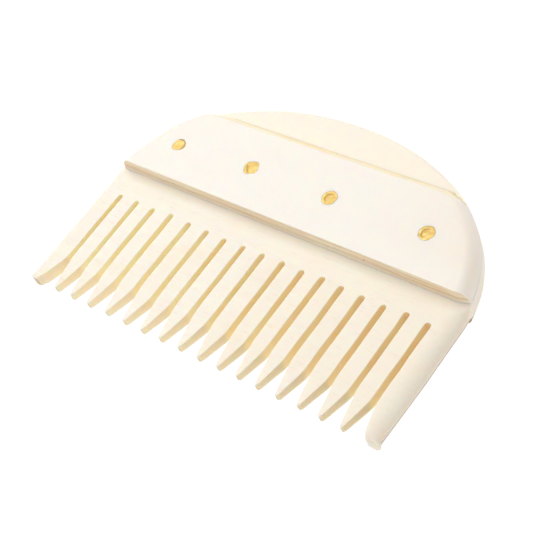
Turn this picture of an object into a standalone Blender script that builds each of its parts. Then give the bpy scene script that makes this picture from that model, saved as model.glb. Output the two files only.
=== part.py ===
"""A riveted bone comb: a D-shaped tooth plate held between two side plates by four brass rivets.

The comb lies on its rear side plate. X runs along its length, +Y points from the tooth tips to the rounded
back, and +Z comes out of the front side plate. The origin is the middle of the footprint.
"""

import math

import bmesh
import bpy

# Driving dimensions, in metres. Heights in plan (along Y) start at the gullet line, where the slots end.
LENGTH = 0.0902
TOOTH_LENGTH = 0.0254
CROWN_HEIGHT = 0.0354
CROWN_SHIFT = -0.0012
ARC_BASE = 0.002
LEFT_SHOULDER_POWER = 2.2
RIGHT_SHOULDER_POWER = 2.05
SIDE_PLATE_POWER = 1.97

TOOTH_PLATE_THICKNESS = 0.0036
SIDE_PLATE_THICKNESS = 0.0033
LAYER_GAP = 0.0003

TOOTH_COUNT = 18
TOOTH_PITCH = 0.0050
SLOT_WIDTH = 0.00135
KNEE_DEPTH = 0.0168
KNEE_SOFTNESS = 0.0016
KNEE_START = 0.16
TIP_WIDTH = 0.0007
END_TIP_WIDTH = 0.0026
THINNING_DEPTH = 0.010
TIP_THINNING = 0.5
END_TIP_THINNING = 0.12

# The slots are sawn by hand, so their spacing wanders: size, length scale and phase of each wave.
SLOT_WANDERS = ((0.00017, 0.0095, 1.4), (0.00013, 0.0039, -0.46))

LEFT_EDGE_RADIUS = 0.0008
RIGHT_EDGE_RADIUS = 0.0017
COVERED_EDGE_RADIUS = 0.0003
CROWN_EDGE_RADIUS = 0.0007
TOOTH_EDGE_RADIUS = 0.00015

SIDE_PLATE_LOWER = 0.0061
SIDE_PLATE_UPPER = 0.0274
UPPER_BEVEL_RUN = 0.0031
SIDE_PLATE_INSET = 0.0005
END_ROUNDING = 0.0022

RIVET_RADIUS = 0.00175
RIVET_PLACES = ((-0.0331, 0.0143), (-0.0134, 0.0152), (0.0072, 0.0150), (0.0303, 0.0152))
RIVET_BEVEL = 0.0002
RIVET_RECESS = 0.00005
HOLE_CLEARANCE = 0.0003

# Faceting.
CROWN_STEPS = 56
SIDE_STEPS = 7
GULLET_STEPS = 6
EDGE_STEPS = 2
END_STEPS = 5
END_ARC_STEPS = 14
RIVET_SEGMENTS = 32

# Sizes that follow from the driving ones.
HALF_LENGTH = LENGTH / 2
SLOT_COUNT = TOOTH_COUNT - 1
STACK_HEIGHT = 2 * SIDE_PLATE_THICKNESS + TOOTH_PLATE_THICKNESS + 2 * LAYER_GAP
TOOTH_PLATE_FLOOR = SIDE_PLATE_THICKNESS + LAYER_GAP
GULLET_Y = (TOOTH_LENGTH - CROWN_HEIGHT) / 2

BONE = (0.86, 0.80, 0.68, 1.0)
SIDE_BONE = (0.90, 0.84, 0.75, 1.0)
BRASS = (0.80, 0.58, 0.22, 1.0)


def clear_scene():
    for item in list(bpy.data.objects):
        bpy.data.objects.remove(item, do_unlink=True)


def make_material(name, colour, roughness, metallic):
    material = bpy.data.materials.new(name)
    material.use_nodes = True
    shader = material.node_tree.nodes["Principled BSDF"]
    shader.inputs["Base Color"].default_value = colour
    shader.inputs["Roughness"].default_value = roughness
    shader.inputs["Metallic"].default_value = metallic
    return material


def add_object(name, mesh, material, parent, height):
    item = bpy.data.objects.new(name, mesh)
    bpy.context.collection.objects.link(item)
    mesh.materials.clear()
    mesh.materials.append(material)
    item.parent = parent
    item.location = (0.0, 0.0, height)
    return item


def finish_mesh(name, shape):
    bmesh.ops.recalc_face_normals(shape, faces=shape.faces)
    mesh = bpy.data.meshes.new(name)
    shape.to_mesh(mesh)
    shape.free()
    mesh.shade_smooth()
    mesh.set_sharp_from_angle(angle=math.radians(35))
    return mesh


def crown_point(turn, inset, left_power):
    """A point of the back's curve: turn goes from 0 at the right end over the crown to pi at the left end."""
    on_left = turn > math.pi / 2
    power = left_power if on_left else RIGHT_SHOULDER_POWER
    reach = HALF_LENGTH + CROWN_SHIFT if on_left else HALF_LENGTH - CROWN_SHIFT
    rise = CROWN_HEIGHT - ARC_BASE
    across = math.copysign(abs(math.cos(turn)) ** (2 / power), math.cos(turn))
    up = math.sin(turn) ** (2 / power)
    return CROWN_SHIFT + (reach - inset) * across, ARC_BASE + (rise - inset) * up


def side_plate_turn(height, inset, on_left):
    """The turn at which a side plate's end curve, moved in by inset, reaches a plan height."""
    power = SIDE_PLATE_POWER if on_left else RIGHT_SHOULDER_POWER
    up = (height - ARC_BASE) / (CROWN_HEIGHT - ARC_BASE - inset)
    turn = math.asin(up ** (power / 2))
    return math.pi - turn if on_left else turn


def slot_centre(index):
    even = (index - (SLOT_COUNT - 1) / 2) * TOOTH_PITCH
    return even + sum(size * math.sin(even / span + phase) for size, span, phase in SLOT_WANDERS)


def tooth_outline(left, right, left_is_end, right_is_end):
    """The outline of one tooth below its knees, from its right side round the tip to its left side."""
    middle = (left + right) / 2
    if left_is_end:
        tip_left = left
        tip_right = left + END_TIP_WIDTH
    elif right_is_end:
        tip_left = right - END_TIP_WIDTH
        tip_right = right
    else:
        tip_left = middle - TIP_WIDTH / 2
        tip_right = middle + TIP_WIDTH / 2
    knee_top = -KNEE_DEPTH + KNEE_SOFTNESS
    knee_bottom = -KNEE_DEPTH - KNEE_SOFTNESS / 2
    points = []
    if not right_is_end:
        points.append((right, knee_top))
        points.append((right + KNEE_START * (tip_right - right), knee_bottom))
    points.append((tip_right, -TOOTH_LENGTH))
    points.append((tip_left, -TOOTH_LENGTH))
    if not left_is_end:
        points.append((left + KNEE_START * (tip_left - left), knee_bottom))
        points.append((left, knee_top))
    return points


def gullet_outline(centre):
    """The rounded end of a slot, from its right side to its left side."""
    radius = SLOT_WIDTH / 2
    points = []
    for step in range(GULLET_STEPS + 1):
        turn = math.pi * step / GULLET_STEPS
        points.append((centre + radius * math.cos(turn), -radius + radius * math.sin(turn)))
    return points


def blend(value, start, stop):
    """0 up to start, 1 from stop on, and a smooth rise between them."""
    part = min(1.0, max(0.0, (value - start) / (stop - start)))
    return part * part * (3 - 2 * part)


def edge_radius(x, y):
    """How far the tooth plate's outline is rounded over: broadly at its ends, finely along its teeth."""
    on_back = y > ARC_BASE / 2
    on_side = abs(x) > HALF_LENGTH - TOOTH_EDGE_RADIUS
    if not on_back and not on_side:
        return TOOTH_EDGE_RADIUS
    side = LEFT_EDGE_RADIUS if x < 0 else RIGHT_EDGE_RADIUS
    covered = blend(y, SIDE_PLATE_LOWER - 0.004, SIDE_PLATE_LOWER + 0.002)
    bare = blend(y, SIDE_PLATE_UPPER - 0.001, SIDE_PLATE_UPPER + 0.001)
    lower = side + (COVERED_EDGE_RADIUS - side) * covered
    return lower + (CROWN_EDGE_RADIUS - COVERED_EDGE_RADIUS) * bare


def side_heights():
    """Plan heights down a straight side, from below the back's curve to above the tips."""
    span = TOOTH_LENGTH + ARC_BASE
    return [ARC_BASE - span * step / SIDE_STEPS for step in range(1, SIDE_STEPS)]


def tooth_plate_outline():
    """The whole outline, anticlockwise from the right end of the back's curve."""
    points = []
    for step in range(CROWN_STEPS + 1):
        points.append(crown_point(math.pi * step / CROWN_STEPS, 0.0, LEFT_SHOULDER_POWER))
    points.extend((-HALF_LENGTH, y) for y in side_heights())
    edges = [-HALF_LENGTH]
    for index in range(SLOT_COUNT):
        edges.append(slot_centre(index) - SLOT_WIDTH / 2)
        edges.append(slot_centre(index) + SLOT_WIDTH / 2)
    edges.append(HALF_LENGTH)
    for index in range(TOOTH_COUNT):
        left, right = edges[2 * index], edges[2 * index + 1]
        tooth = tooth_outline(left, right, index == 0, index == TOOTH_COUNT - 1)
        points.extend(reversed(tooth))
        if index < SLOT_COUNT:
            points.extend(reversed(gullet_outline(slot_centre(index))))
    points.extend((HALF_LENGTH, y) for y in reversed(side_heights()))
    return points


def outline_normals(points):
    """The outward direction at each point of an anticlockwise outline."""
    normals = []
    for index, (x, y) in enumerate(points):
        before = points[index - 1]
        after = points[(index + 1) % len(points)]
        first = (y - before[1], before[0] - x)
        second = (after[1] - y, x - after[0])
        first_length = math.hypot(*first)
        second_length = math.hypot(*second)
        nx = first[0] / first_length + second[0] / second_length
        ny = first[1] / first_length + second[1] / second_length
        length = math.hypot(nx, ny)
        normals.append((nx / length, ny / length))
    return normals


def add_ring(shape, points):
    return [shape.verts.new(point) for point in points]


def bridge_rings(shape, lower, upper):
    count = len(lower)
    for index in range(count):
        after = (index + 1) % count
        shape.faces.new((lower[index], lower[after], upper[after], upper[index]))


def close_rings(shape, rings):
    """Walls between neighbouring rings, and a flat face at each end."""
    for lower, upper in zip(rings, rings[1:]):
        bridge_rings(shape, lower, upper)
    shape.faces.new(list(reversed(rings[0])))
    shape.faces.new(rings[-1])


def thin_teeth(shape):
    """The teeth are ground thinner towards their tips, from the rear, the two end ones only a little."""
    everything = list(shape.verts) + list(shape.edges) + list(shape.faces)
    bmesh.ops.bisect_plane(shape, geom=everything, plane_co=(0, -THINNING_DEPTH, 0), plane_no=(0, 1, 0))
    reach = TOOTH_LENGTH - THINNING_DEPTH
    first_slot = slot_centre(0)
    last_slot = slot_centre(SLOT_COUNT - 1)
    for vertex in shape.verts:
        on_end_tooth = vertex.co.x < first_slot or vertex.co.x > last_slot
        thinning = END_TIP_THINNING if on_end_tooth else TIP_THINNING
        past = max(0.0, -THINNING_DEPTH - vertex.co.y) / reach
        depth = TOOTH_PLATE_THICKNESS - vertex.co.z
        vertex.co.z = TOOTH_PLATE_THICKNESS - depth * (1 - thinning * past)


def make_tooth_plate():
    points = tooth_plate_outline()
    normals = outline_normals(points)
    shape = bmesh.new()
    rings = []
    for level in range(2 * EDGE_STEPS + 2):
        below = level <= EDGE_STEPS
        step = EDGE_STEPS - level if below else level - EDGE_STEPS - 1
        turn = math.pi / 2 * step / EDGE_STEPS
        ring = []
        for (x, y), (nx, ny) in zip(points, normals):
            radius = edge_radius(x, y)
            inset = radius * (1 - math.cos(turn))
            rise = radius * (1 - math.sin(turn))
            z = rise if below else TOOTH_PLATE_THICKNESS - rise
            ring.append((x - nx * inset, y - ny * inset, z))
        rings.append(add_ring(shape, ring))
    close_rings(shape, rings)
    thin_teeth(shape)
    return finish_mesh("tooth_plate", shape)


def side_plate_ring(inset, upper):
    """One level of a side plate: the part of the back's curve between its lower and upper edges."""
    points = []
    right_end = (SIDE_PLATE_LOWER, upper, False)
    left_end = (upper, SIDE_PLATE_LOWER, True)
    for start_height, stop_height, on_left in (right_end, left_end):
        start = side_plate_turn(start_height, inset, on_left)
        stop = side_plate_turn(stop_height, inset, on_left)
        for step in range(END_ARC_STEPS + 1):
            turn = start + (stop - start) * step / END_ARC_STEPS
            points.append(crown_point(turn, inset, SIDE_PLATE_POWER))
    return points


def make_side_plate(name, faces_up):
    """Flat against the tooth plate, rounded over at both ends and bevelled along its upper edge."""
    shape = bmesh.new()
    rings = []
    for level in range(END_STEPS + 1):
        turn = math.pi / 2 * level / END_STEPS
        height = SIDE_PLATE_THICKNESS * math.sin(turn)
        inset = SIDE_PLATE_INSET + END_ROUNDING * (1 - math.cos(turn))
        upper = SIDE_PLATE_UPPER - UPPER_BEVEL_RUN * math.sin(turn)
        z = height if faces_up else SIDE_PLATE_THICKNESS - height
        ring = [(x, y, z) for x, y in side_plate_ring(inset, upper)]
        rings.append(add_ring(shape, ring))
    close_rings(shape, rings)
    return finish_mesh(name, shape)


def make_rivet_mesh():
    shape = bmesh.new()
    length = STACK_HEIGHT - 2 * RIVET_RECESS
    bmesh.ops.create_cone(
        shape,
        cap_ends=True,
        segments=RIVET_SEGMENTS,
        radius1=RIVET_RADIUS,
        radius2=RIVET_RADIUS,
        depth=length,
    )
    rims = [edge for edge in shape.edges if abs(abs(edge.verts[0].co.z) - length / 2) < 1e-6]
    rims = [edge for edge in rims if abs(edge.verts[0].co.z - edge.verts[1].co.z) < 1e-6]
    bmesh.ops.bevel(shape, geom=rims, offset=RIVET_BEVEL, segments=2, profile=0.5, affect="EDGES")
    return finish_mesh("rivet", shape)


def make_hole_cutter(parent):
    """Four round drills, one at each rivet, a little wider than the rivets."""
    shape = bmesh.new()
    for x, y in RIVET_PLACES:
        made = bmesh.ops.create_cone(
            shape,
            cap_ends=True,
            segments=RIVET_SEGMENTS,
            radius1=RIVET_RADIUS + HOLE_CLEARANCE,
            radius2=RIVET_RADIUS + HOLE_CLEARANCE,
            depth=2 * STACK_HEIGHT,
        )
        bmesh.ops.translate(shape, verts=made["verts"], vec=(x, y, 0.0))
    material = make_material("cutter", (0.5, 0.5, 0.5, 1.0), 0.5, 0.0)
    cutter = add_object("hole_cutter", finish_mesh("hole_cutter", shape), material, parent, 0.0)
    cutter.hide_render = True
    cutter.display_type = "WIRE"
    return cutter


def drill(item, cutter):
    modifier = item.modifiers.new("rivet_holes", "BOOLEAN")
    modifier.operation = "DIFFERENCE"
    modifier.solver = "EXACT"
    modifier.object = cutter


def build():
    clear_scene()
    centre = bpy.data.objects.new("comb_centre", None)
    centre.location = (0.0, GULLET_Y, 0.0)
    bpy.context.collection.objects.link(centre)

    plate_bone = make_material("tooth_plate_bone", BONE, 0.45, 0.0)
    side_bone = make_material("side_plate_bone", SIDE_BONE, 0.4, 0.0)
    brass = make_material("brass", BRASS, 0.3, 1.0)

    cutter = make_hole_cutter(centre)
    tooth_plate = add_object("tooth_plate", make_tooth_plate(), plate_bone, centre, TOOTH_PLATE_FLOOR)
    front_mesh = make_side_plate("front_side_plate", True)
    front_floor = STACK_HEIGHT - SIDE_PLATE_THICKNESS
    front = add_object("front_side_plate", front_mesh, side_bone, centre, front_floor)
    rear_mesh = make_side_plate("rear_side_plate", False)
    rear = add_object("rear_side_plate", rear_mesh, side_bone, centre, 0.0)
    for plate in (tooth_plate, front, rear):
        drill(plate, cutter)

    rivet_mesh = make_rivet_mesh()
    for index, (x, y) in enumerate(RIVET_PLACES):
        rivet = add_object(f"rivet_{index + 1}", rivet_mesh, brass, centre, STACK_HEIGHT / 2)
        rivet.location.x = x
        rivet.location.y = y


build()
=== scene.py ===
"""Looks of a riveted bone comb: hand-sawn and polished bone plates, peened brass rivets, and a plain studio.

Plan shapes are in millimetres, with X along the comb and Y measured from the gullet line, where the saw slots
end. Heights are millimetres above the surface that the comb lies on. The frame gives every overall size.
"""
import math

import bpy
import numpy as np
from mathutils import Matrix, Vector, kdtree
from mathutils.geometry import delaunay_2d_cdt


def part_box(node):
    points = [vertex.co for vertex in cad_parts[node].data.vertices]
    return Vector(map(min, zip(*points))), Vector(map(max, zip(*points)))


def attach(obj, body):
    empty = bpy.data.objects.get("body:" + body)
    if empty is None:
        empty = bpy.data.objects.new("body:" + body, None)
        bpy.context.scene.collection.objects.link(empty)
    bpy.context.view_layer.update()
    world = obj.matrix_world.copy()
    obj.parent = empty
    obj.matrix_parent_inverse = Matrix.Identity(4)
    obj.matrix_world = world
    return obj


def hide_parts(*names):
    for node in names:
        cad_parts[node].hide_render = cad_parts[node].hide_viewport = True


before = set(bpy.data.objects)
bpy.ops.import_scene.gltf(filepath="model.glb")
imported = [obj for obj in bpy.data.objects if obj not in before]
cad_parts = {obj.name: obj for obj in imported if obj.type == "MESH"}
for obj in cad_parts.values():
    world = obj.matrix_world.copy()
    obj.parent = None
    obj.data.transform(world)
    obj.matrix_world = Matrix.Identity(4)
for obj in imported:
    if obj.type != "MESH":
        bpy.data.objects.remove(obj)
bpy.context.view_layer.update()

MM = 0.001


def node_box(node_name):
    """A CAD node's lowest and highest corners, in millimetres."""
    low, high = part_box(node_name)
    return np.array(low) / MM, np.array(high) / MM


# Sizes from the frame.
PLATE_LOW, PLATE_HIGH = node_box("tooth_plate")
RIVETS = ("rivet_1", "rivet_2", "rivet_3", "rivet_4")
HALF_LENGTH = PLATE_HIGH[0]
STACK_HEIGHT = node_box("front_side_plate")[1][2]
REAR_FACE, FRONT_FACE = PLATE_LOW[2], PLATE_HIGH[2]
SIDE_THICKNESS = STACK_HEIGHT - FRONT_FACE

# The comb's plan: straight sides up to ARC_BASE, then a superellipse on each side of the crown.
TOOTH_LENGTH = 25.4
GULLET_Y = PLATE_LOW[1] + TOOTH_LENGTH
CROWN_HEIGHT = PLATE_HIGH[1] - GULLET_Y
CROWN_SHIFT = -1.2
ARC_BASE = 2.0
LEFT_SHOULDER_POWER = 2.2
RIGHT_SHOULDER_POWER = 2.05
SIDE_PLATE_POWER = 1.97

# The saw slots: even pitch, the slow waves by which the sawyer's spacing wanders (each one's size, span and
# phase), and the odd long or short cut.
SLOT_COUNT = 17
TOOTH_PITCH = 5.0
SLOT_WIDTH = 1.28
FIRST_SLOT_NARROWING = 0.07
LAST_SLOT_WIDENING = 0.03
WIDTH_WANDER = 0.035
EDGE_DRIFT = 0.035
TOP_WANDER = 0.08
SLOT_WANDERS = ((0.17, 9.5, 1.4), (0.13, 3.9, -0.46))
SLOT_TOPS = {3: 0.3, 6: -0.3, 11: 0.3, 14: -0.24, 15: 0.25}

# The teeth's taper: how deep each edge starts to lean in, and how softly. Left edges start higher than right.
LEFT_TAPER = (17.4, 0.8)
RIGHT_TAPER = (18.6, 0.8)
END_TAPER = (19.0, 1.2)

# The teeth's tips: the two end teeth stay broad and thick, and the others are thinned from the rear.
LEFT_SHARE = 0.5
TIP_WIDTH = 0.62
TIP_WIDTH_WANDER = 0.1
TIP_RISE_WANDER = 0.06
TIP_POWER = 2.3
END_TIP_POWER = 3.0
LEFT_TIP_WIDTH = 2.1
RIGHT_TIP_WIDTH = 2.85
TIP_SOFTNESS = 0.25
END_TIP_SOFTNESS = 0.9
THINNING_DEPTH = 10.0
TIP_THINNING = 0.5
END_TIP_THINNING = 0.22

# How broadly the tooth plate's edges are rounded over: its rim, and the edges of its cuts.
LEFT_RIM = 0.8
RIGHT_RIM = 3.2
COVERED_RIM = 0.02
BARE_RIM = 0.75
DEEPEST_RIM = 2.2
REAR_RIM = 1.4
CUT_ROUNDING = 0.12
TIP_ROUNDING = 0.14
RIGHT_TIP_ROUNDING = 1.1
REAR_CUT_ROUNDING = 0.3

# The side plates: a sawn step below, a flat face, a crease, and a rasped bevel down to the tooth plate. A reach
# is how far from the middle the step or the bevel ends, and an inset is how far inside the back's curve an end
# stays.
STEP_HEIGHT = 6.1
STEP_REACH = 44.0
STEP_TILT = -0.1 / STEP_REACH
CREASE_HEIGHT = 24.3
CREASE_TILT = 0.3 / 28
CREASE_SOFTNESS = 0.12
BEVEL_RUN = 3.1
BEVEL_REACH = 27.0
END_ROUNDING = 2.6
LEFT_END_NARROWING = 2.0
LEFT_INSET = 0.5
FRONT_RIGHT_INSET = 0.03
REAR_RIGHT_INSET = 0.65
CORNER_LIFT = 0.6
CORNER_RUN = 3.2
EMBED = 0.08
SHARP = (0.02, 0.0)

# The flat faces' waviness: the waves' height and length.
PLATE_WAVES = (0.02, 11.0)
SIDE_WAVES = (0.012, 12.0)

# Large pores that the saw or the rasp opened: X, Z and radius.
STEP_PORES = ((-28.9, 8.9, 0.17), (12.3, 8.3, 0.12), (14.2, 8.9, 0.1),
              (21.1, 8.6, 0.16), (28.1, 8.9, 0.1), (32.7, 8.2, 0.14))
BEVEL_PORES = ((-0.3, 7.9, 0.14),)

# The rivets: how far below the stack's full height the bone and the heads lie, and a head's rings from its rim
# inwards, in shares of its reach, with how far the outermost ones fall.
FACE_SINK = 0.085
HEAD_SINK = 0.09
HEAD_DEPTHS = (0.3, 0.16)
HEAD_RINGS = (1.0, 0.985, 0.95, 0.9, 0.84, 0.77, 0.69, 0.6, 0.5, 0.39, 0.27, 0.14)
RIM_FALLS = {1.0: 0.025, 0.985: 0.01, 0.95: 0.003}
SHANK_SHARES = (0.36, 0.5, 0.64)
RIVET_SIDES = 64
HOLE_SIDES = 44
HOLE_ROUNDING = (0.03, 0.03)

# Seeds of the ripples.
FRONT_SEED, REAR_SEED, SIDE_SEED = 5, 6, 8
SLOT_SEED = 40
SAW_SEED, FIBRE_SEED, SPLINTER_SEED, CHIP_SEED = 61, 62, 63, 64
HEAD_SEED = 70

# Meshing: the rings of points along a rounding, at these angles and once past it, and how much of its own
# distance a ring keeps from every outline.
RING_ANGLES = (14, 30, 46, 62, 78, 90)
SUPPORT_RING = 1.3
RING_CLEARANCE = 0.93

# The rows of points down a wall, as shares of its height, and the least thickness of a plate.
WALL_ROWS = (0.07, 0.25, 0.5, 0.75, 0.93)
STEP_ROWS = tuple(row / 14 for row in range(1, 14))
THINNEST = 0.02

# The even fill of a face: its spacing, and as shares of that the rows' spacing and the least distance from other
# points.
FILL_SPACING = 1.1
ROW_SPACING = 0.87
FILL_CLEARANCE = 0.42

# The spacing of points along each kind of edge, and how far above a tip's arc a tooth's straight edges stop.
RIM_SPACING = 0.55
END_SPACING = 0.5
STEP_SPACING = 0.35
CUT_SPACING = 0.5
TIP_MARGIN = 0.2

# The rows of points along the crease: their distances from it, and how far they stay inside the back's curve.
CREASE_ROWS = (-0.5, -0.2, -0.05, 0.1, 0.3)
CREASE_EXTENT = 38
CREASE_SPACING = 0.7
CREASE_MARGIN = (3.5, 2.0)

# Material slots of a plate.
POLISHED, CUT, RASPED = 0, 1, 2


def ripple(x, y, seed):
    """Uneven waves of about unit height, whose lengths are about one unit."""
    draw = np.random.default_rng(seed)
    total = np.zeros(np.broadcast(x, y).shape)
    for _ in range(7):
        heading, length = draw.uniform(0, math.pi), draw.uniform(0.6, 1.9)
        phase = draw.uniform(0, 2 * math.pi)
        along = x * math.cos(heading) + y * math.sin(heading)
        total += np.sin(2 * math.pi * along / length + phase)
    return total / 2.6


def blend(value, start, stop):
    """0 up to start, 1 from stop on, and a smooth rise between them."""
    part = np.clip((value - start) / (stop - start), 0, 1)
    return part * part * (3 - 2 * part)


def soft_ramp(value, softness):
    """0 well below zero and value well above it, with a soft bend between."""
    return (np.sqrt(value ** 2 + softness ** 2) + value) / 2


# ---------------------------------------------------------------- plan curves

def crown_point(turn, inset, left_power):
    """A point of the back's curve: turn runs from 0 at the right end over the crown to pi at the left end."""
    on_left = turn > math.pi / 2
    power = left_power if on_left else RIGHT_SHOULDER_POWER
    reach = HALF_LENGTH + CROWN_SHIFT if on_left else HALF_LENGTH - CROWN_SHIFT
    rise = CROWN_HEIGHT - ARC_BASE
    across = math.copysign(abs(math.cos(turn)) ** (2 / power), math.cos(turn))
    up = math.sin(turn) ** (2 / power)
    return CROWN_SHIFT + (reach - inset) * across, ARC_BASE + (rise - inset) * up


def spaced(points, spacing):
    """The same polyline with its points evenly spaced."""
    points = np.asarray(points, float)
    run = np.concatenate(([0], np.cumsum(np.hypot(*np.diff(points, axis=0).T))))
    stops = np.linspace(0, run[-1], max(2, int(run[-1] / spacing) + 1))
    return np.column_stack([np.interp(stops, run, points[:, axis]) for axis in (0, 1)])


def slot_centre(index):
    """Where a slot's middle lies along the comb."""
    even = (index - (SLOT_COUNT - 1) / 2) * TOOTH_PITCH
    return even + sum(size * math.sin(even / span + phase) for size, span, phase in SLOT_WANDERS)


def slot_top(index):
    """Where a slot ends, above the gullet line."""
    return SLOT_TOPS.get(index, 0.0) + TOP_WANDER * math.sin(2.3 * index)


def slot_half(index):
    """Half a slot's width; the saw cut some a little wider than others, and the first ones narrowest."""
    narrowing = FIRST_SLOT_NARROWING * (1 - float(blend(index, 0, 3)))
    widening = LAST_SLOT_WIDENING * float(blend(index, 9, 13))
    wander = WIDTH_WANDER * math.sin(0.75 * index - 0.4)
    return SLOT_WIDTH / 2 + wander + widening - narrowing


def slot_edge(index, side, y):
    """A slot's left (-1) or right (1) edge, as the saw left it."""
    drift = EDGE_DRIFT * ripple(y / 9, 0 * y, SLOT_SEED + 2 * index + (side > 0))
    return slot_centre(index) + side * (slot_half(index) + drift)


def tooth_ends(index):
    """Where a tooth's tip lies: left, right and lowest."""
    if index == 0:
        return -HALF_LENGTH, -HALF_LENGTH + LEFT_TIP_WIDTH, -TOOTH_LENGTH
    if index == SLOT_COUNT:
        return HALF_LENGTH - RIGHT_TIP_WIDTH, HALF_LENGTH, -TOOTH_LENGTH
    left, right = slot_centre(index - 1) + slot_half(index - 1), slot_centre(index) - slot_half(index)
    width = TIP_WIDTH + TIP_WIDTH_WANDER * math.sin(3.1 * index)
    tip_left = left + (right - left - width) * LEFT_SHARE
    return tip_left, tip_left + width, -TOOTH_LENGTH + TIP_RISE_WANDER * (1 + math.sin(1.9 * index))


def lean(y, taper, tip_y):
    """How far an edge has leaned in at a height, as a share of its whole lean at the tip."""
    start, softness = taper
    return soft_ramp(-y - start, softness) / soft_ramp(-tip_y - start, softness)


def tooth_edge(index, side, heights):
    """A tooth's left (-1) or right (1) edge at given heights."""
    tip_left, tip_right, tip_y = tooth_ends(index)
    if side < 0:
        taper = END_TAPER if index == SLOT_COUNT else LEFT_TAPER
        top, tip = slot_edge(index - 1, 1, heights), tip_left
    else:
        taper = RIGHT_TAPER
        top, tip = slot_edge(index, -1, heights), tip_right
    return top + (tip - top) * lean(heights, taper, tip_y)


def tip_arc(left, right, low, soft, power):
    """The rounded end of a tooth, from its left edge to its right edge."""
    points = []
    for turn in np.linspace(0, math.pi, 9):
        across = math.copysign(abs(math.cos(turn)) ** (2 / power), math.cos(turn))
        down = abs(math.sin(turn)) ** (2 / power)
        points.append(((left + right) / 2 - (right - left) / 2 * across, low + soft * (1 - down)))
    return points


def gullet_arc(index):
    """The rounded top of a slot, from its left edge to its right edge."""
    radius, top = slot_half(index), slot_top(index)
    left, right = (slot_edge(index, side, np.array(top - radius)) for side in (-1, 1))
    turns = np.linspace(0, math.pi, 11)
    across = (left + right) / 2 - (right - left) / 2 * np.cos(turns)
    return list(zip(across, top - radius + radius * np.sin(turns)))


def cut_line():
    """All that the saw and the file left along the teeth, from the left end's tip to the right end's tip."""
    points = []
    for index in range(SLOT_COUNT + 1):
        left, right, low = tooth_ends(index)
        is_end = index in (0, SLOT_COUNT)
        soft = END_TIP_SOFTNESS if is_end else TIP_SOFTNESS

        def heights_below(slot):
            start = slot_top(slot) - SLOT_WIDTH / 2 - CUT_SPACING
            return np.arange(start, low + soft + TIP_MARGIN, -CUT_SPACING)

        if index > 0:
            heights = heights_below(index - 1)
            points += list(zip(tooth_edge(index, -1, heights), heights))
        points += tip_arc(left, right, low, soft, END_TIP_POWER if is_end else TIP_POWER)
        if index < SLOT_COUNT:
            heights = heights_below(index)[::-1]
            points += list(zip(tooth_edge(index, 1, heights), heights))
            points += gullet_arc(index)
    return np.array(points)


def rim_line():
    """The outside of the tooth plate, from the right end's tip up and over the back to the left end's tip."""
    low = -TOOTH_LENGTH + END_TIP_SOFTNESS + TIP_MARGIN
    back = [crown_point(turn, 0.0, LEFT_SHOULDER_POWER) for turn in np.linspace(0, math.pi, 400)]
    return spaced([(HALF_LENGTH, low)] + back + [(-HALF_LENGTH, low)], RIM_SPACING)


# ---------------------------------------------------------------- plates as fine meshes

class Edge:
    """One stretch of a plate's outline, with how broadly and deeply its front and rear are rounded over."""

    def __init__(self, points, front, rear, slot=POLISHED, rows=WALL_ROWS, rough=None):
        self.points = np.asarray(points, float)
        count = len(self.points)
        columns = [np.broadcast_to(value, count) for value in (*front, *rear)]
        self.rounding = np.column_stack(columns).astype(float)
        self.slot = slot
        self.rows = rows
        self.rough = rough
        self.tree = kdtree.KDTree(count)
        for index, (x, y) in enumerate(self.points):
            self.tree.insert((x, y, 0), index)
        self.tree.balance()

    def nearest(self, places):
        """Each place's distance to this stretch, and the rounding at the nearest point of it."""
        count = len(self.points)
        found = np.array([self.tree.find((x, y, 0))[1] for x, y in places])
        best = np.full(len(places), 1e9)
        rounding = np.zeros((len(places), 4))
        for start in (np.clip(found - 1, 0, count - 2), np.clip(found, 0, count - 2)):
            first, second = self.points[start], self.points[start + 1]
            run = second - first
            part = np.clip(((places - first) * run).sum(1) / (run ** 2).sum(1), 0, 1)[:, None]
            distance = np.linalg.norm(places - first - part * run, axis=1)
            closer = distance < best
            best[closer] = distance[closer]
            mixed = self.rounding[start] * (1 - part) + self.rounding[start + 1] * part
            rounding[closer] = mixed[closer]
        return best, rounding

    def dents(self, heights):
        """How far the wall is pressed in at each of its points, at given heights."""
        if self.rough is None:
            return np.zeros(heights.shape)
        return np.maximum(self.rough(self.points[:, :1], self.points[:, 1:], heights), 0)


def stretches(loop):
    """Each edge of a loop with where its points start and stop in the loop."""
    start = 0
    for edge in loop:
        yield edge, start, start + len(edge.points)
        start += len(edge.points)


def drop(distance, width, depth):
    """How far a rounded-over edge has fallen away at a distance from the outline."""
    away = np.clip(1 - distance / np.maximum(width, 1e-6), 0, 1)
    return depth * (1 - np.sqrt(1 - away ** 2))


def inward(points):
    """The inward direction at each point of a closed anticlockwise outline."""
    run = np.roll(points, -1, axis=0) - np.roll(points, 1, axis=0)
    run /= np.linalg.norm(run, axis=1)[:, None]
    return np.column_stack((-run[:, 1], run[:, 0]))


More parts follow.
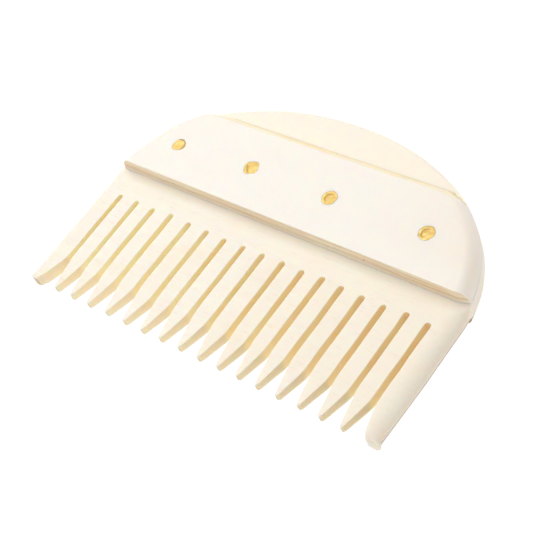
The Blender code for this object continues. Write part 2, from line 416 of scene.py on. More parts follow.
def plan_points(loops, extra):
    """The outline's points, rings of points along its roundings, extra points, and an even fill."""
    outline = np.concatenate([edge.points for loop in loops for edge in loop])
    rings = []
    for loop in loops:
        points = np.concatenate([edge.points for edge in loop])
        rounding = np.concatenate([edge.rounding for edge in loop])
        width = np.maximum(rounding[:, 0], rounding[:, 2])
        direction = inward(points)
        insets = [1 - math.cos(math.radians(angle)) for angle in RING_ANGLES] + [SUPPORT_RING]
        for inset in insets:
            reach = width * inset
            ring = points + direction * reach[:, None]
            clear = np.min([edge.nearest(ring)[0] for other in loops for edge in other], axis=0)
            rings.append(ring[clear > RING_CLEARANCE * reach])
    near = np.concatenate([outline] + rings + ([extra] if len(extra) else []))
    tree = kdtree.KDTree(len(near))
    for index, (x, y) in enumerate(near):
        tree.insert((x, y, 0), index)
    tree.balance()
    low, high = outline.min(0), outline.max(0)
    fill = []
    for row, y in enumerate(np.arange(low[1], high[1], FILL_SPACING * ROW_SPACING)):
        for x in np.arange(low[0] + FILL_SPACING / 2 * (row % 2), high[0], FILL_SPACING):
            if tree.find((x, y, 0))[2] > FILL_SPACING * FILL_CLEARANCE:
                fill.append((x, y))
    return np.concatenate([near, np.array(fill)])


def triangulate(loops, places):
    """Triangles over the plan, inside the first loop and outside the others."""
    faces, start = [], 0
    for loop in loops:
        count = sum(len(edge.points) for edge in loop)
        face = list(range(start, start + count))
        faces.append(face[::-1] if faces else face)
        start += count
    result = delaunay_2d_cdt([tuple(place) for place in places.tolist()], [], faces, 0, 1e-6)
    verts, _, triangles, origin, _, inside = result
    place_of = [min(source) if source else None for source in origin]
    assert None not in place_of
    kept = []
    for triangle, owners in zip(triangles, inside):
        if 0 in owners and not any(owner > 0 for owner in owners):
            kept.append([place_of[corner] for corner in triangle])
    return kept


def rounded(loops, places, front, rear):
    """The faces' heights once every loop's edges are rounded over."""
    for loop in loops:
        fall, rise = np.zeros(len(places)), np.zeros(len(places))
        for edge in loop:
            distance, rounding = edge.nearest(places)
            fall = np.maximum(fall, drop(distance, rounding[:, 0], rounding[:, 1]))
            rise = np.maximum(rise, drop(distance, rounding[:, 2], rounding[:, 3]))
        front, rear = front - fall, rear + rise
    return np.maximum(front, rear + THINNEST), rear


def loop_wall(loop, tops, bottoms, front, rear, first):
    """A loop's wall between both faces: its own points, numbered from first, its faces and their slots."""
    points = np.concatenate([edge.points for edge in loop])
    rows = np.array(max((edge.rows for edge in loop), key=len))
    heights = front[:, None] + (rear - front)[:, None] * rows
    dents = np.concatenate([edge.dents(heights[start:stop]) for edge, start, stop in stretches(loop)])
    shift = inward(points)[:, None, :] * (dents * np.sin(math.pi * rows))[:, :, None]
    verts = np.dstack((points[:, None, :] + shift, heights)).reshape(-1, 3)
    inner = first + np.arange(len(verts)).reshape(heights.shape)
    columns = np.column_stack((tops, inner, bottoms)).tolist()
    owners = [slot for edge in loop for slot in np.broadcast_to(edge.slot, len(edge.points)).tolist()]
    faces, slots = [], []
    for column, after, slot in zip(columns, columns[1:] + columns[:1], owners):
        for upper in range(len(column) - 1):
            faces.append([column[upper], column[upper + 1], after[upper + 1], after[upper]])
            slots.append(slot)
    return [tuple(vert) for vert in verts], faces, slots


def plate_piece(name, loops, heights, materials, extra=(), slots_at=(None, None)):
    """One closed plate: both faces over the same plan, and walls with rows of points between them.

    heights and slots_at are functions of a place, for the front and for the rear.
    """
    places = plan_points(loops, np.asarray(extra, float).reshape(-1, 2))
    triangles = np.array(triangulate(loops, places))
    middles = places[triangles].mean(1)
    slots = [slot_at(x, y) if slot_at else POLISHED for slot_at in slots_at for x, y in middles]
    used, triangles = np.unique(triangles, return_inverse=True)
    triangles = triangles.reshape(-1, 3)
    x, y = places[used].T
    front, rear = rounded(loops, places[used], *(height(x, y) for height in heights))
    count = len(used)
    verts = list(zip(x, y, front)) + list(zip(x, y, rear))
    faces = triangles.tolist() + (triangles[:, ::-1] + count).tolist()
    start = 0
    for loop in loops:
        stop = start + sum(len(edge.points) for edge in loop)
        tops = np.searchsorted(used, np.arange(start, stop))
        wall = loop_wall(loop, tops, tops + count, front[tops], rear[tops], len(verts))
        for whole, added in zip((verts, faces, slots), wall):
            whole.extend(added)
        start = stop
    return make_piece(name, verts, faces, slots, materials)


def make_piece(name, verts, faces, slots, materials):
    """A mesh object in the frame's metres, from points in millimetres from the gullet line."""
    mesh = bpy.data.meshes.new(name)
    mesh.from_pydata([(x * MM, (y + GULLET_Y) * MM, z * MM) for x, y, z in verts], [], faces)
    for material in materials:
        mesh.materials.append(material)
    mesh.polygons.foreach_set("material_index", slots)
    mesh.shade_smooth()
    mesh.validate()
    piece = bpy.data.objects.new(name, mesh)
    bpy.context.collection.objects.link(piece)
    return piece


def rivet_place(node_name):
    """A rivet's centre in plan, and its radius."""
    low, high = node_box(node_name)
    return (low[0] + high[0]) / 2, (low[1] + high[1]) / 2 - GULLET_Y, (high[0] - low[0]) / 2


def rivet_holes(kinds=None):
    """One loop for each rivet's hole: round for its shank, or the outline of its head of a given kind."""
    loops = []
    for index, node_name in enumerate(RIVETS):
        x, y, radius = rivet_place(node_name)
        turns = np.linspace(0, -2 * math.pi, HOLE_SIDES + 1)[:-1]
        reach = radius * (head_reach(kinds[index], turns) if kinds else np.ones(len(turns)))
        ring = np.column_stack((x + reach * np.cos(turns), y + reach * np.sin(turns)))
        loops.append([Edge(ring, HOLE_ROUNDING, HOLE_ROUNDING, CUT)])
    return loops


# ---------------------------------------------------------------- the bone plates

def saw_marks(x, y, z):
    """The saw's strokes across a slot's walls."""
    return 0.02 * ripple((x + y) / 2.5, z / 0.6, SAW_SEED)


def step_fibres(x, y, z):
    """The sawn step's long fibres, which run lengthwise and stand out unevenly."""
    fibres = 0.05 * (1 + ripple(x / 16, (z + 0.05 * y) / 0.5, FIBRE_SEED))
    return fibres + 0.03 * ripple(x / 3, z / 0.35, SPLINTER_SEED)


def rim_rounding(points):
    """How the outside is rounded: broadly on the right, and hardly where the side plates cover it."""
    x, y = points.T
    bevel_foot = CREASE_HEIGHT + BEVEL_RUN
    side = np.where(x > 0, RIGHT_RIM, LEFT_RIM)
    covered = blend(y, STEP_HEIGHT - 3.5, STEP_HEIGHT + 1.0)
    bare = blend(y, bevel_foot + 0.3, bevel_foot + 2.6)
    width = side + (COVERED_RIM - side) * covered + (BARE_RIM - COVERED_RIM) * bare
    rear_width = np.maximum(np.minimum(width, REAR_RIM), np.where(x > 0, BARE_RIM, 0))
    return (width, np.minimum(width, DEEPEST_RIM)), (rear_width, rear_width)


def make_tooth_plate(materials):
    """The middle plate, with its rim, its teeth and its rivet holes."""
    wave, wave_length = PLATE_WAVES
    first_slot, last_slot = slot_centre(0), slot_centre(SLOT_COUNT - 1)

    def front_height(x, y):
        return FRONT_FACE + wave * ripple(x / wave_length, y / wave_length, FRONT_SEED)

    def rear_height(x, y):
        on_end = (x < first_slot) | (x > last_slot)
        thinning = (FRONT_FACE - REAR_FACE) * np.where(on_end, END_TIP_THINNING, TIP_THINNING)
        past = np.clip(-THINNING_DEPTH - y, 0, None) / (TOOTH_LENGTH - THINNING_DEPTH)
        return REAR_FACE + wave * ripple(x / wave_length, y / wave_length, REAR_SEED) + thinning * past

    rim = rim_line()
    cut = cut_line()
    at_tip = blend(-cut[:, 1], TOOTH_LENGTH - 0.8, TOOTH_LENGTH - 0.2)
    on_right_end = cut[:, 0] > last_slot
    width = CUT_ROUNDING + np.where(on_right_end, RIGHT_TIP_ROUNDING, TIP_ROUNDING) * at_tip
    rear = np.minimum(width, REAR_CUT_ROUNDING)
    cut_slots = np.where(on_right_end & (at_tip > 0), POLISHED, CUT)
    outside = Edge(rim, *rim_rounding(rim))
    teeth = Edge(cut, (width, width), (rear, rear), cut_slots, rough=saw_marks)
    loops = [[outside, teeth]] + rivet_holes()
    return plate_piece("comb_tooth_plate", loops, (front_height, rear_height), materials)


def side_plate_loop(faces_front):
    """A side plate's plan: its sawn lower step, its two ends, and the thin foot of its upper bevel."""

    def end_curve(on_left):
        right_inset = FRONT_RIGHT_INSET if faces_front else REAR_RIGHT_INSET
        inset = LEFT_INSET if on_left else right_inset
        power = SIDE_PLATE_POWER if on_left else RIGHT_SHOULDER_POWER
        side = -1 if on_left else 1
        start = STEP_HEIGHT + STEP_TILT * STEP_REACH * side + (0 if on_left else CORNER_LIFT)
        stop = CREASE_HEIGHT + BEVEL_RUN + CREASE_TILT * BEVEL_REACH * side
        ups = [(height - ARC_BASE) / (CROWN_HEIGHT - ARC_BASE - inset) for height in (start, stop)]
        turns = np.linspace(*(math.asin(up ** (power / 2)) for up in ups), 120)
        if on_left:
            turns = math.pi - turns[::-1]
        return spaced([crown_point(turn, inset, SIDE_PLATE_POWER) for turn in turns], END_SPACING)

    def edge(points, rounding, slot=POLISHED, rough=None):
        front, rear = (rounding, SHARP) if faces_front else (SHARP, rounding)
        return Edge(points, front, rear, slot, STEP_ROWS, rough)

    right, left = end_curve(False), end_curve(True)
    lower = spaced([left[-1], right[0] - (0, CORNER_LIFT)], STEP_SPACING)[1:-1]
    along = lower[:, 0]
    lower[:, 1] += CORNER_LIFT * blend(along, HALF_LENGTH - CORNER_RUN, HALF_LENGTH)
    sound = blend(along, HALF_LENGTH - 11, HALF_LENGTH - 8)
    chipped = 0.15 + 0.12 * np.clip(ripple(along / 4, 0 * along, CHIP_SEED), 0, None) * (1 - sound)
    foot = spaced([right[-1], left[0]], END_SPACING)[1:-1]
    left_width = END_ROUNDING - LEFT_END_NARROWING * blend(left[:, 1], 10, 22)
    return [edge(lower, (chipped, chipped * 0.8), CUT, step_fibres),
            edge(right, (np.array(END_ROUNDING), SIDE_THICKNESS)),
            edge(foot, SHARP),
            edge(left, (left_width, SIDE_THICKNESS))]


def make_side_plate(name, faces_front, materials):
    """One of the two outer plates, with its outer face towards the front or the rear."""
    wave, wave_length = SIDE_WAVES

    def fall(x, y):
        """How far the outer face lies below the stack's full height."""
        past = soft_ramp(y - CREASE_HEIGHT - CREASE_TILT * x, CREASE_SOFTNESS)
        bevel = np.minimum(past / BEVEL_RUN * SIDE_THICKNESS, SIDE_THICKNESS)
        return bevel + FACE_SINK + wave * (1 + ripple(x / wave_length, y / wave_length, SIDE_SEED))

    def bevel_slot(x, y):
        return RASPED if y > CREASE_HEIGHT + CREASE_TILT * x + 0.08 else POLISHED

    def outer_front(x, y):
        return STACK_HEIGHT - fall(x, y)

    def inner_front(x, y):
        return np.full(x.shape, REAR_FACE + EMBED)

    def inner_rear(x, y):
        return np.full(x.shape, FRONT_FACE - EMBED)

    crease = [(x, CREASE_HEIGHT + CREASE_TILT * x + offset)
              for offset in CREASE_ROWS for x in np.arange(-CREASE_EXTENT, CREASE_EXTENT, CREASE_SPACING)]
    crease = [place for place in crease if inside_end_curve(place)]
    kinds = list(range(4)) if faces_front else [rear_kind(kind) for kind in range(4)]
    loops = [side_plate_loop(faces_front)] + rivet_holes(kinds)
    heights = (outer_front, inner_rear) if faces_front else (inner_front, fall)
    slots_at = (bevel_slot, None) if faces_front else (None, bevel_slot)
    return plate_piece(name, loops, heights, materials, crease, slots_at)


def inside_end_curve(place):
    """Whether a place is well inside the back's curve."""
    x, y = place
    end_margin, top_margin = CREASE_MARGIN
    across = abs(x - CROWN_SHIFT) / (HALF_LENGTH - end_margin)
    up = (y - ARC_BASE) / (CROWN_HEIGHT - ARC_BASE - top_margin)
    return across ** 2 + up ** 2 < 1


# ---------------------------------------------------------------- the rivets

def head_profile(kind, dx, dy):
    """A peened head's height over its own rim, in shares of its radius; every head was struck differently."""
    reach = np.hypot(dx, dy)
    crown = 0.03 * (1 - reach ** 2) + 0.012 * ripple(dx / 0.7, dy / 0.7, HEAD_SEED + kind)
    if kind == 0:
        # A flat head whose rim was beaten down on one side.
        rim = blend(reach, 0.7, 0.85) * blend(dx + 0.6 * dy, -0.2, 0.5)
        return crown - 0.09 * rim
    if kind == 1:
        # A squarish head with a chisel's groove across it.
        across = 0.8 * dx + 0.61 * dy + 0.42
        groove = np.exp(-(across / 0.07) ** 2) * (1 - blend(np.abs(0.61 * dx - 0.8 * dy), 0.4, 0.7))
        return crown - 0.13 * groove - 0.03 * blend(across, 0.0, 0.2)
    # A head dished by a punch that was held aslant.
    dished = 1 - blend(np.hypot(dx - 0.12, dy + 0.1), 0.56, 0.74)
    tilt = 0.085 - 0.1 * dx + 0.08 * dy
    return crown - dished * np.maximum(tilt, 0.01)


def head_reach(kind, turn):
    """The outline of a head, as a share of the rivet's radius."""
    if kind == 0:
        return 0.88 + 0.05 * np.cos(3 * turn + 0.6)
    if kind == 1:
        square = (np.abs(np.cos(turn - 0.35)) ** 3 + np.abs(np.sin(turn - 0.35)) ** 3) ** (-1 / 3)
        return 0.92 * square
    return 0.975 + 0.02 * np.cos(2 * turn + kind) + 0.022 * np.cos(5 * turn + 2 * kind)


def rear_kind(kind):
    """The rear heads are the same four shapes, in another order."""
    return (kind + 2) % 4


def make_rivet(node_name, kind, material):
    """A brass rod through the stack, with a struck head at each end."""
    centre_x, centre_y, radius = rivet_place(node_name)
    turns = np.linspace(0, 2 * math.pi, RIVET_SIDES, endpoint=False)

    def ring(reach, height):
        x, y = centre_x + radius * reach * np.cos(turns), centre_y + radius * reach * np.sin(turns)
        return np.column_stack((x, y, np.broadcast_to(height, x.shape)))

    def head(shape, top, down):
        outline = head_reach(shape, turns)
        made = [ring(outline, top + depth * down) for depth in HEAD_DEPTHS]
        for share in HEAD_RINGS:
            reach = outline * share
            rise = head_profile(shape, reach * np.cos(turns), reach * np.sin(turns))
            rise -= RIM_FALLS.get(share, 0)
            made.append(ring(reach, top + down * (HEAD_SINK - rise * radius)))
        return made

    shank = [ring(1.0, share * STACK_HEIGHT) for share in SHANK_SHARES]
    rings = head(rear_kind(kind), 0.0, 1)[::-1] + shank + head(kind, STACK_HEIGHT, -1)
    verts = [tuple(point) for made in rings for point in made]
    faces = []
    for low in range(0, len(verts) - RIVET_SIDES, RIVET_SIDES):
        for index in range(RIVET_SIDES):
            here, after = low + index, low + (index + 1) % RIVET_SIDES
            faces.append([here, after, after + RIVET_SIDES, here + RIVET_SIDES])
    for low, made, sign in ((0, rings[0], 1), (len(verts) - RIVET_SIDES, rings[-1], -1)):
        middle = len(verts)
        verts.append(tuple(np.mean(made, axis=0)))
        for index in range(RIVET_SIDES):
            pair = (low + (index + 1) % RIVET_SIDES, low + index)
            faces.append([middle, *pair[::sign]])
    return make_piece("comb_" + node_name, verts, faces, [POLISHED] * len(faces), [material])


# ---------------------------------------------------------------- materials

# Base colours of the polished bone: its clouds, its warmer fibres and patches, and its tint from just below the
# step up, which on the tooth plate is painted bounce light that lifts the step's shadow.
PLATE_BONE = {"pale": (0.94, 0.885, 0.80), "cream": (0.92, 0.855, 0.745),
              "warm": (0.91, 0.81, 0.655), "upper": (0.98, 0.88, 0.78)}
SIDE_BONE = {"pale": (0.945, 0.89, 0.845), "cream": (0.93, 0.87, 0.79),
             "warm": (0.92, 0.82, 0.69), "upper": (0.95, 0.89, 0.83)}
CANAL_BROWN = (0.62, 0.47, 0.30)
# Painted shade towards the right, where the light falls off away from the key.
RIGHT_FALLOFF_SHADE = (0.80, 0.66, 0.48)
# Painted shade: on the right end's rounding, and darker where it turns under.
RIGHT_END_SHADE = (0.74, 0.60, 0.42)
UNDERSIDE_SHADE = (0.42, 0.32, 0.23)
# The colour of a large pore.
LARGE_PORE = (0.20, 0.13, 0.07)


def node(tree, kind, props=None, **inputs):
    """A shader node with its properties set, and its inputs set or linked; _ in a name stands for a space."""
    made = tree.nodes.new("ShaderNode" + kind)
    for key, value in (props or {}).items():
        setattr(made, key, value)
    for key, value in inputs.items():
        socket = made.inputs[key.replace("_", " ")]
        if isinstance(value, bpy.types.NodeSocket):
            tree.links.new(value, socket)
        else:
            socket.default_value = value
    return made


def mix(tree, factor, first, second):
    """The colour between two colours."""
    made = tree.nodes.new("ShaderNodeMix")
    made.data_type = "RGBA"
    for socket, value in ((made.inputs[0], factor), (made.inputs[6], first), (made.inputs[7], second)):
        if isinstance(value, bpy.types.NodeSocket):
            tree.links.new(value, socket)
        elif isinstance(value, tuple):
            socket.default_value = (*value, 1.0)
        else:
            socket.default_value = value
    return made.outputs[2]


def ramp(tree, value, low, high, start=0.0, stop=1.0):
    """value spread from low..high to start..stop, held at both ends."""
    made = node(tree, "MapRange", {"interpolation_type": "SMOOTHSTEP"}, Value=value)
    for key, number in (("From Min", low), ("From Max", high), ("To Min", start), ("To Max", stop)):
        made.inputs[key].default_value = number
    return made.outputs[0]


def noise(tree, place, scale, detail=2.0, roughness=0.5):
    """Noise stretched by a scale for each axis, in features per metre."""
    moved = node(tree, "Mapping", Vector=place, Scale=scale)
    made = node(tree, "TexNoise", Vector=moved.outputs[0], Scale=1.0, Detail=detail, Roughness=roughness)
    return made.outputs[0]


def maths(tree, operation, *values):
    """A sum on sockets and numbers."""
    made = node(tree, "Math", {"operation": operation})
    for socket, value in zip(made.inputs, values):
        if isinstance(value, bpy.types.NodeSocket):
            tree.links.new(value, socket)
        else:
            socket.default_value = value
    return made.outputs[0]


def times(tree, first, second):
    return maths(tree, "MULTIPLY", first, second)


def minus(tree, first, second):
    return maths(tree, "SUBTRACT", first, second)


def axis(tree, vector, index):
    """A vector's X, Y or Z."""
    return node(tree, "SeparateXYZ", Vector=vector).outputs[index]


def new_material(name):
    """A material with its node tree, its shader, and the place of a point on the object."""
    material = bpy.data.materials.new(name)
    material.use_nodes = True
    tree = material.node_tree
    place = tree.nodes.new("ShaderNodeTexCoord").outputs["Object"]
    return material, tree, tree.nodes["Principled BSDF"], place


def soften(shader, weight, reach=0.7):
    """Light that enters bone and comes out warm and blurred, up to a reach in millimetres."""
    shader.inputs["Subsurface Weight"].default_value = weight
    shader.inputs["Subsurface Radius"].default_value = (1.0, 0.62, 0.36)
    shader.inputs["Subsurface Scale"].default_value = reach * MM


def roughen(tree, shader, height, strength, depth):
    """Fine relief from a height between 0 and 1, which stands for a depth in millimetres."""
    bump = node(tree, "Bump", Strength=strength, Distance=depth * MM, Height=height)
    tree.links.new(bump.outputs[0], shader.inputs["Normal"])


def shade_right(tree, colour):
    """Painted shade: bone browner on the right end's rounding, where it turns from the light, and most so low
    down, where it turns under.
    """
    normal = tree.nodes.new("ShaderNodeTexCoord").outputs["Normal"]
    rightward, upward = axis(tree, normal, 0), axis(tree, normal, 2)
    colour = mix(tree, ramp(tree, rightward, 0.45, 1.1, 0.0, 0.22), colour, RIGHT_END_SHADE)
    under = times(tree, maths(tree, "MAXIMUM", rightward, 0.0), times(tree, upward, -1.0))
    return mix(tree, ramp(tree, under, 0.02, 0.28), colour, UNDERSIDE_SHADE)


def polished_bone(name, pale, cream, warm, upper):
    """Satin bone: clouded creams, faint fibres along the length, and the fine dark dashes of its canals."""
    material, tree, shader, place = new_material(name)
    clouds = ramp(tree, noise(tree, place, (38, 55, 55), 3.0), 0.36, 0.66)
    patches = ramp(tree, noise(tree, place, (95, 160, 160), 2.0), 0.56, 0.78, 0.0, 0.55)
    fibres = noise(tree, place, (110, 1500, 1500), 4.0, 0.6)
    canals = ramp(tree, noise(tree, place, (420, 5200, 5200), 1.0), 0.66, 0.76)
    colour = mix(tree, clouds, pale, cream)
    colour = mix(tree, patches, colour, warm)
    colour = mix(tree, ramp(tree, fibres, 0.42, 0.72, 0.0, 0.32), colour, warm)
    colour = mix(tree, times(tree, canals, 0.22), colour, CANAL_BROWN)
    # From just below the step up the bone takes another tint: on the tooth plate it is painted bounce light that
    # lifts the step's shadow, and on the side plates it is their own tint.
    x, y = axis(tree, place, 0), axis(tree, place, 1)
    foot = (STEP_HEIGHT + GULLET_Y) * MM
    colour = mix(tree, ramp(tree, y, foot - 2.2 * MM, foot - 0.4 * MM, 0.0, 0.8), colour, upper)
    # Painted shade: from the step up, the bone darkens towards the right, where the light falls off.
    falloff_shade = times(tree, ramp(tree, x, 10 * MM, 44 * MM, 0.0, 0.17), ramp(tree, y, foot, foot + 8 * MM))
    # Painted shade on the right end's rounding and its underside.
    colour = shade_right(tree, mix(tree, falloff_shade, colour, RIGHT_FALLOFF_SHADE))
    tree.links.new(colour, shader.inputs["Base Color"])
    tree.links.new(ramp(tree, fibres, 0.3, 0.7, 0.36, 0.52), shader.inputs["Roughness"])
    shader.inputs["Specular IOR Level"].default_value = 0.3
    scratches = noise(tree, place, (900, 2600, 2600), 3.0, 0.7)
    relief = minus(tree, times(tree, scratches, 0.5), times(tree, canals, 0.8))
    relief = maths(tree, "ADD", relief, times(tree, fibres, 0.6))
    roughen(tree, shader, relief, 0.35, 0.03)
    soften(shader, 0.7)
    return material


def add_pores(tree, colour, pores):
    """The few large dark pores that the saw or the rasp opened, at given places along X and Z."""
    place = tree.nodes.new("ShaderNodeTexCoord").outputs["Object"]
    x, z = axis(tree, place, 0), axis(tree, place, 2)
    for pore_x, pore_z, radius in pores:
        across = minus(tree, x, pore_x * MM)
        up = times(tree, minus(tree, z, pore_z * MM), 1.3)
        away = maths(tree, "SQRT", maths(tree, "ADD", times(tree, across, across), times(tree, up, up)))
        dark = ramp(tree, away, radius * 0.6 * MM, radius * 1.4 * MM, 0.85, 0.0)
        colour = mix(tree, dark, colour, LARGE_PORE)
    return colour


def rasped_bone():
    """The bevels: yellower, left by a rasp drawn along them, with a tan line at the foot."""
    material, tree, shader, place = new_material("rasped_bone")
    rasped = noise(tree, place, (90, 1300, 1300), 4.0, 0.6)
    clouds = ramp(tree, noise(tree, place, (60, 90, 90), 3.0), 0.36, 0.66)
    colour = mix(tree, clouds, (1.0, 0.86, 0.64), (0.98, 0.81, 0.55))
    colour = mix(tree, ramp(tree, rasped, 0.42, 0.7, 0.0, 0.6), colour, (0.92, 0.74, 0.48))
    outward = maths(tree, "ABSOLUTE", minus(tree, axis(tree, place, 2), STACK_HEIGHT / 2 * MM))
    above_foot = minus(tree, outward, (FRONT_FACE - STACK_HEIGHT / 2) * MM)
    colour = mix(tree, ramp(tree, above_foot, 0.1 * MM, 1.1 * MM, 0.7, 0.0), colour, (0.92, 0.66, 0.36))
    pores = ramp(tree, noise(tree, place, (700, 1500, 1500), 1.0), 0.75, 0.8)
    colour = mix(tree, times(tree, pores, 0.7), colour, (0.25, 0.15, 0.08))
    colour = add_pores(tree, colour, BEVEL_PORES)
    tree.links.new(colour, shader.inputs["Base Color"])
    shader.inputs["Roughness"].default_value = 0.6
    shader.inputs["Specular IOR Level"].default_value = 0.2
    roughen(tree, shader, rasped, 0.6, 0.07)
    soften(shader, 0.7)
    return material


def saw_cut_bone():
    """The slots' walls: golden, with the saw's fine strokes, duller low down where they lean in, and darker to
    the right with painted shade.
    """
    material, tree, shader, place = new_material("saw_cut_bone")
    strokes = noise(tree, place, (1600, 260, 3600), 4.0, 0.65)
    clouds = ramp(tree, noise(tree, place, (160, 160, 160), 2.0), 0.35, 0.7)
    colour = mix(tree, clouds, (1.0, 0.91, 0.66), (1.0, 0.86, 0.56))
    colour = mix(tree, ramp(tree, strokes, 0.45, 0.75, 0.0, 0.5), colour, (0.96, 0.78, 0.46))
    # Painted shade: the walls darken towards the right, where the light falls off away from the key.
    painted_falloff = ramp(tree, axis(tree, place, 0), -35 * MM, 40 * MM)
    colour = mix(tree, times(tree, painted_falloff, 0.5), colour, (0.80, 0.64, 0.36))
    # Low down, the walls that lean in are paler and less golden, and darker to the right with the same painted
    # shade; the tips' ends are the darkest.
    normal = tree.nodes.new("ShaderNodeTexCoord").outputs["Normal"]
    backward = axis(tree, normal, 1)
    low_down = ramp(tree, axis(tree, place, 1), -18 * MM, -21 * MM)
    leaning_low = times(tree, low_down, ramp(tree, backward, -0.07, -0.2))
    colour = mix(tree, leaning_low, colour, mix(tree, painted_falloff, (0.90, 0.79, 0.57), (0.74, 0.665, 0.465)))
    tips = times(tree, low_down, ramp(tree, backward, -0.6, -0.95, 0.0, 0.8))
    colour = mix(tree, tips, colour, (0.58, 0.50, 0.38))
    tree.links.new(colour, shader.inputs["Base Color"])
    shader.inputs["Roughness"].default_value = 0.7
    shader.inputs["Specular IOR Level"].default_value = 0.2
    roughen(tree, shader, strokes, 0.5, 0.05)
    soften(shader, 0.8, 1.8)
    return material


def step_bone():
    """The sawn step: tan, with lengthwise fibres, dark pores, a darker line half-way up, and a foot painted
    paler with painted light where it meets the tooth plate.
    """
    material, tree, shader, place = new_material("step_bone")
    fibres = noise(tree, place, (120, 300, 3600), 5.0, 0.62)
    streaks = noise(tree, place, (45, 60, 1700), 3.0, 0.55)
    pores = ramp(tree, noise(tree, place, (900, 900, 2100), 1.0), 0.73, 0.79)
    colour = mix(tree, ramp(tree, streaks, 0.35, 0.68), (1.0, 0.90, 0.70), (0.90, 0.70, 0.46))
    colour = mix(tree, ramp(tree, fibres, 0.45, 0.7, 0.0, 0.7), colour, (0.76, 0.55, 0.34))
    height = axis(tree, place, 2)
    outward = maths(tree, "MAXIMUM", height, minus(tree, STACK_HEIGHT * MM, height))
    # A darker band across the wall, 1.15 mm above the tooth plate.
    dark_band = maths(tree, "ABSOLUTE", minus(tree, outward, (FRONT_FACE + 1.15) * MM))
    colour = mix(tree, ramp(tree, dark_band, 0.0, 0.6 * MM, 0.3, 0.0), colour, (0.60, 0.43, 0.28))
    # Painted light: the wall's lowest part is paler and pinker, lifting the shade where it meets the tooth
    # plate.
    foot = ramp(tree, outward, (FRONT_FACE + 0.15) * MM, (FRONT_FACE + 0.7) * MM, 0.8, 0.0)
    colour = mix(tree, foot, colour, (1.0, 0.89, 0.78))
    colour = mix(tree, times(tree, pores, 0.8), colour, (0.20, 0.12, 0.06))
    colour = add_pores(tree, colour, STEP_PORES)
    # Painted shade: the rear plate's right corner is darkened, where the light does not reach.
    far_right = ramp(tree, axis(tree, place, 0), (HALF_LENGTH - 4.6) * MM, (HALF_LENGTH - 1.1) * MM)
    corner = times(tree, far_right, ramp(tree, height, 3.5 * MM, 2.8 * MM))
    colour = mix(tree, corner, colour, (0.30, 0.22, 0.15))
    tree.links.new(colour, shader.inputs["Base Color"])
    shader.inputs["Roughness"].default_value = 0.65
    roughen(tree, shader, minus(tree, fibres, times(tree, pores, 1.5)), 0.6, 0.08)
    soften(shader, 0.5)
    return material


def struck_brass():
    """Brass burnished by the hammer and the file, a little tarnished in blotches."""
    material, tree, shader, place = new_material("struck_brass")
    blotches = noise(tree, place, (900, 900, 900), 3.0, 0.6)
    scratches = noise(tree, place, (900, 7000, 2000), 3.0, 0.6)
    colour = mix(tree, ramp(tree, blotches, 0.35, 0.7), (0.70, 0.50, 0.17), (0.62, 0.43, 0.13))
    tree.links.new(colour, shader.inputs["Base Color"])
    shader.inputs["Metallic"].default_value = 0.6
    tree.links.new(ramp(tree, blotches, 0.3, 0.7, 0.4, 0.55), shader.inputs["Roughness"])
    roughen(tree, shader, maths(tree, "ADD", blotches, times(tree, scratches, 0.4)), 0.5, 0.06)
    return material


# ---------------------------------------------------------------- studio

FLOOR_RADIUS = 3.0
FLOOR_DROP = 0.00005
CAMERA_LENS = 94.1667
CAMERA_PLACE = (0.160836, -0.102254, 0.211635)
CAMERA_ANGLES = (38.3407, 18.3119, 37.2793)
DAYLIGHT = (1.0, 0.985, 0.96, 1)
DAYLIGHT_STRENGTH = 0.64


def make_floor():
    """A white floor that glows a little, so that the comb's shadow on it stays faint."""
    bpy.ops.mesh.primitive_circle_add(
        vertices=96, radius=FLOOR_RADIUS, fill_type="NGON", location=(0, 0, -FLOOR_DROP))
    floor = bpy.context.object
    floor.name = "studio_floor"
    material = bpy.data.materials.new("studio_floor")
    material.use_nodes = True
    shader = material.node_tree.nodes["Principled BSDF"]
    shader.inputs["Base Color"].default_value = (0.08, 0.08, 0.08, 1)
    shader.inputs["Roughness"].default_value = 0.9
    shader.inputs["Emission Color"].default_value = (1, 1, 1, 1)
    shader.inputs["Emission Strength"].default_value = 0.96
    floor.data.materials.append(material)


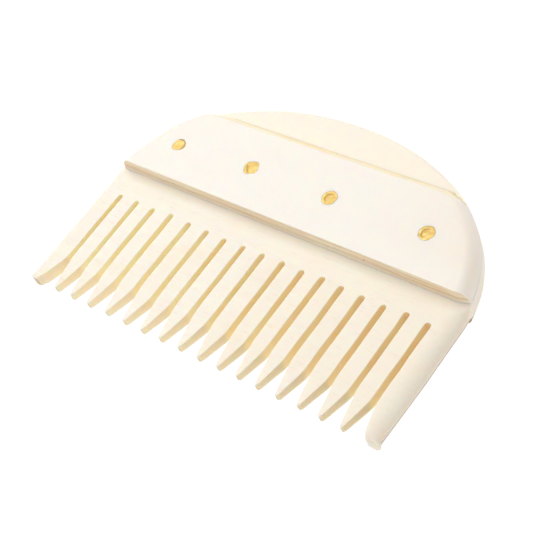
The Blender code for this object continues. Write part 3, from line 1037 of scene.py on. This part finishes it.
def add_light(name, place, size, energy, colour):
    """A round soft light that faces the comb's middle."""
    light = bpy.data.lights.new(name, "AREA")
    light.shape = "DISK"
    light.size = size
    light.energy = energy
    light.color = colour
    lamp = bpy.data.objects.new(name, light)
    bpy.context.collection.objects.link(lamp)
    lamp.location = place
    lamp.rotation_euler = Vector(place).to_track_quat("Z", "Y").to_euler()


def make_lights():
    """A pale room, a soft key light from the left, and a softer light from above."""
    world = bpy.data.worlds.new("studio")
    bpy.context.scene.world = world
    world.use_nodes = True
    background = world.node_tree.nodes["Background"]
    background.inputs[0].default_value = DAYLIGHT
    background.inputs[1].default_value = DAYLIGHT_STRENGTH
    add_light("key", (-0.4, 0.14, 0.57), size=0.6, energy=2.2, colour=(1.0, 0.98, 0.96))
    add_light("top", (0.0, 0.1, 0.9), size=1.0, energy=0.9, colour=(1.0, 0.99, 0.98))


def make_camera():
    """A long lens that looks down at the comb from its lower right."""
    camera = bpy.data.cameras.new("camera")
    camera.sensor_width = 36
    camera.lens = CAMERA_LENS
    camera.clip_start, camera.clip_end = 0.01, 20
    holder = bpy.data.objects.new("camera", camera)
    bpy.context.collection.objects.link(holder)
    holder.location = CAMERA_PLACE
    holder.rotation_euler = [math.radians(angle) for angle in CAMERA_ANGLES]
    bpy.context.scene.camera = holder
    bpy.context.scene.view_settings.view_transform = "Standard"


def build():
    """The whole scene: every piece is attached to the root body, and the frame's node that it stands for is
    hidden.
    """
    make_camera()
    make_floor()
    make_lights()
    plate_bone = polished_bone("plate_bone", **PLATE_BONE)
    side_bone = polished_bone("side_bone", **SIDE_BONE)
    saw_cut, step, rasped, brass = saw_cut_bone(), step_bone(), rasped_bone(), struck_brass()
    made = [(make_tooth_plate([plate_bone, saw_cut]), "tooth_plate", "tooth_plate_bone")]
    for node_name, faces_front in (("front_side_plate", True), ("rear_side_plate", False)):
        plate = make_side_plate("comb_" + node_name, faces_front, [side_bone, step, rasped])
        made.append((plate, node_name, "side_plate_bone"))
    for kind, node_name in enumerate(RIVETS):
        made.append((make_rivet(node_name, kind, brass), node_name, "brass"))
    for piece, node_name, slot in made:
        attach(piece, "root")
        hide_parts(node_name)


build()
